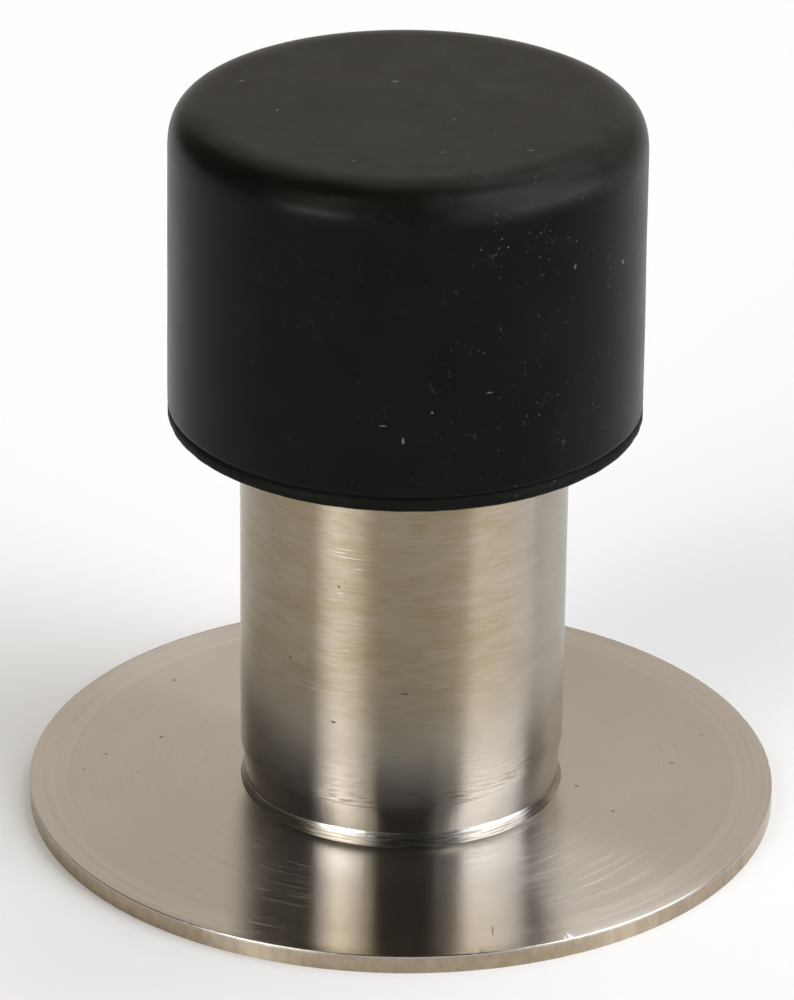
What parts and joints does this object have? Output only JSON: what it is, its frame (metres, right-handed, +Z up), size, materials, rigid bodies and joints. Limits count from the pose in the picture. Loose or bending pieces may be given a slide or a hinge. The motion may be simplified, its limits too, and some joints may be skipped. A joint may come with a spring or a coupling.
{
  "type": "floor door stop",
  "caption": "Round floor door stop: a steel tube welded upright to a thin disc, with a thick black rubber cap over its top that the door meets.",
  "frame": {"origin": "centre of the disc's underside, on the floor", "axes": "+Z up the post's axis; the picture's camera stands on the -Y side"},
  "size_m": [0.081, 0.081, 0.08],
  "materials": {
    "plate_steel": "brushed in circles, plain cut rim",
    "tube_steel": "brushed round the girth, almost bright",
    "weld_steel": "ground bright",
    "cap_rubber": "satin, as moulded"
  },
  "bodies": {
    "root": {"base_plate": "plate_steel", "post_tube": "tube_steel", "weld_bead": "weld_steel", "rubber_cap": "cap_rubber"}
  },
  "joints": []
}
